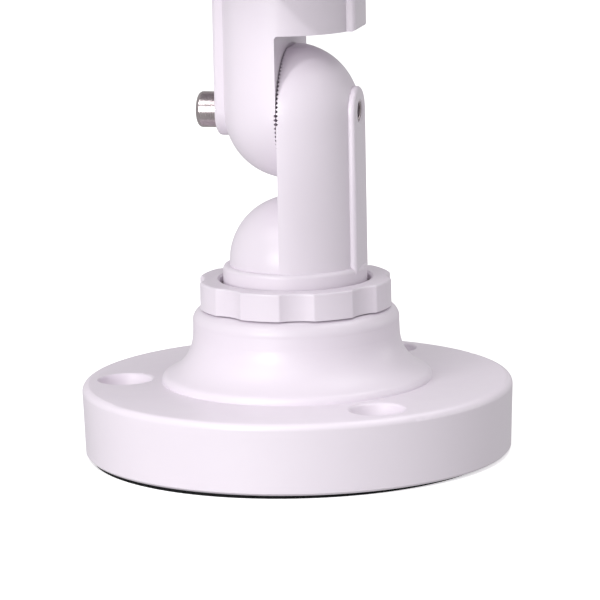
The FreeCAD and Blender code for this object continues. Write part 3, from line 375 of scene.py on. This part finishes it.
def resistors(bodies, ends):
    """A ring of resistors between the emitters, with a solder end on each side."""
    for angle in range(0, 360, 30):
        if angle % 180 == 0:
            continue
        middle = around_lens(RESISTOR_CIRCLE, angle, board_face - 0.3 * MM)
        turn = math.radians(90 - angle)
        along = turned_direction(turn, 1, 0)
        block(bodies, middle, (2.2, 0.6, 1.5), turn, 0.08)
        for side in (-1, 1):
            block(ends, middle + along * 1.35 * MM * side, (0.5, 0.66, 1.6), turn, 0.1)


def driver_chips(bodies, ends):
    """Five driver chips nearer the lens, each with three legs on its two long sides."""
    for angle in (30, 90, 150, 210, 330):
        middle = around_lens(DRIVER_CIRCLE, angle, board_face - 0.55 * MM)
        turn = math.radians(90 - angle)
        along = turned_direction(turn, 1, 0)
        across = turned_direction(turn, 0, 1)
        block(bodies, middle, (3.0, 0.9, 1.6), turn, 0.12)
        for step in (-0.95, 0, 0.95):
            for side in (-1, 1):
                foot = middle + along * step * MM + across * 1.1 * MM * side
                block(ends, foot + Vector((0, 0.35 * MM, 0)), (0.4, 0.2, 0.7), turn, 0.05)


def board_components():
    """Resistors and driver chips on the front of the emitter board, clear of the emitters."""
    bodies, ends = bmesh.new(), bmesh.new()
    resistors(bodies, ends)
    driver_chips(bodies, ends)
    add_piece("emitter_board_components", bodies, "camera", "chip")
    add_piece("emitter_board_solder_ends", ends, "camera", "steel")


def iris():
    """Six thin blades behind the front lens, leaving a six-sided opening."""
    mesh = bmesh.new()
    blade_r, opening, thick = 7.0 * MM, 2.4 * MM, 0.09 * MM
    steps = 18
    reach = math.acos(opening / blade_r)
    for blade in range(IRIS_BLADES):
        y = iris_y + 0.1 * MM * (blade % 3)
        middle = math.radians(360 / IRIS_BLADES * blade)
        outline = []
        for step in range(steps + 1):
            angle = reach * (2 * step / steps - 1) + middle
            outline.append((blade_r * math.cos(angle), blade_r * math.sin(angle)))
        rings = [[Vector((x, y + ahead, head_z + z)) for x, z in outline] for ahead in (0, thick)]
        loft(mesh, rings)
    add_piece("iris_blades", mesh, "camera", "black_anodised")


def sensor_eye():
    """The small clear dome of the light sensor."""
    mesh = bmesh.new()
    middle = Vector((0, board_face - 1.9 * MM, head_z - SENSOR_DROP))
    turn_along_y(mesh, middle, [(0.05, 0.02), (1.6, 0.02), (1.6, 0.2), (1.2, 0.42), (0.6, 0.56),
                                (0.05, 0.6)])
    add_piece("light_sensor_eye", mesh, "camera", "emitter_lens", smooth=True)


tapped_thread()
emitter_insides()
board_components()
iris()
sensor_eye()


# ---- studio ---------------------------------------------------------------------------------
AZIMUTH, ELEVATION, ROLL = math.radians(13.73), math.radians(10.85), math.radians(1.15)
DISTANCE, LENS = 1.0208, 259.2
AIM = Vector((0, 0, 0.03624))
SIDE_SHIFT = 0.0010            # the object stands a little left of the picture's middle
FLOOR_GLOW = 0.4               # keeps the floor near white without lighting the object
WORLD_LIGHT = 0.5


def studio_camera():
    """Stands at the photo's angle, far off, and a little rolled."""
    back = Vector((math.sin(AZIMUTH) * math.cos(ELEVATION),
                   -math.cos(AZIMUTH) * math.cos(ELEVATION), math.sin(ELEVATION)))
    right = Vector((math.cos(AZIMUTH), math.sin(AZIMUTH), 0))
    data = bpy.data.cameras.new("studio_camera")
    data.lens = LENS
    data.sensor_width = 36
    data.clip_start = 0.05
    data.clip_end = 20
    holder = bpy.data.objects.new("studio_camera", data)
    holder.rotation_mode = "QUATERNION"
    holder.location = AIM + back * DISTANCE + right * SIDE_SHIFT
    look_at = (-back).to_track_quat("-Z", "Y")
    holder.rotation_quaternion = look_at @ Euler((0, 0, -ROLL)).to_quaternion()
    bpy.context.collection.objects.link(holder)
    bpy.context.scene.camera = holder


def place_light(data, azimuth, elevation, distance, target):
    """Puts a light at an angle round the camera's own, facing the target."""
    turn = AZIMUTH + math.radians(azimuth)
    lift = math.radians(elevation)
    away = Vector((math.sin(turn) * math.cos(lift), -math.cos(turn) * math.cos(lift),
                   math.sin(lift)))
    holder = bpy.data.objects.new(data.name, data)
    holder.location = target + away * distance
    holder.rotation_mode = "QUATERNION"
    holder.rotation_quaternion = (-away).to_track_quat("-Z", "Y")
    bpy.context.collection.objects.link(holder)


def soft_box(name, azimuth, elevation, distance, size, power):
    """A square lamp that faces the object."""
    data = bpy.data.lights.new(name, "AREA")
    data.shape = "SQUARE"
    data.size = size
    data.energy = power
    place_light(data, azimuth, elevation, distance, AIM)


def snoot(name, azimuth, elevation, distance, cone, power, target):
    """A narrow beam for the arms, which the camera body shades from the soft boxes. Its lamp is
    as wide as the beam, so the beam has no hard edge."""
    data = bpy.data.lights.new(name, "SPOT")
    data.spot_size = math.radians(cone)
    data.spot_blend = 1.0
    data.shadow_soft_size = distance * math.tan(data.spot_size / 2)
    data.energy = power
    place_light(data, azimuth, elevation, distance, Vector(target) * MM)


def floor():
    """A pale floor that neither lights the object nor shows in its reflections."""
    half = 4.0
    mesh = bpy.data.meshes.new("studio_floor")
    corners = [(-half, -half, 0), (half, -half, 0), (half, half, 0), (-half, half, 0)]
    mesh.from_pydata(corners, [], [(0, 1, 2, 3)])
    holder = bpy.data.objects.new("studio_floor", mesh)
    look = Look("studio_floor", (0.93, 0.93, 0.93), 0.8, Emission_Color=(1, 1, 1, 1),
                Emission_Strength=FLOOR_GLOW)
    look.vary_color(look.noise(0.3), (0.92, 0.92, 0.92), (0.94, 0.94, 0.94))
    mesh.materials.append(look.material)
    holder.visible_diffuse = False
    holder.visible_glossy = False
    bpy.context.collection.objects.link(holder)


def studio():
    world = bpy.data.worlds.new("studio")
    world.use_nodes = True
    world.node_tree.nodes["Background"].inputs["Color"].default_value = (1, 1, 1, 1)
    world.node_tree.nodes["Background"].inputs["Strength"].default_value = WORLD_LIGHT
    bpy.context.scene.world = world
    bpy.context.scene.view_settings.view_transform = "Standard"
    floor()
    soft_box("key_softbox", -32, 10, 1.4, 0.7, 9.6)
    soft_box("left_softbox", -48, 48, 1.4, 0.5, 5)
    soft_box("front_softbox", -12, 52, 1.5, 0.6, 6.5)
    soft_box("right_softbox", 96, 69, 1.5, 1.0, 6.6)
    soft_box("rim_softbox", 108, 12, 1.5, 0.6, 1.6)
    snoot("arm_snoot", -30, 8, 1.3, 9, 14, (0, 0, 58))
    snoot("dome_snoot", -46, 28, 1.3, 1.5, 45, (8, -12, 89))


studio_camera()
studio()
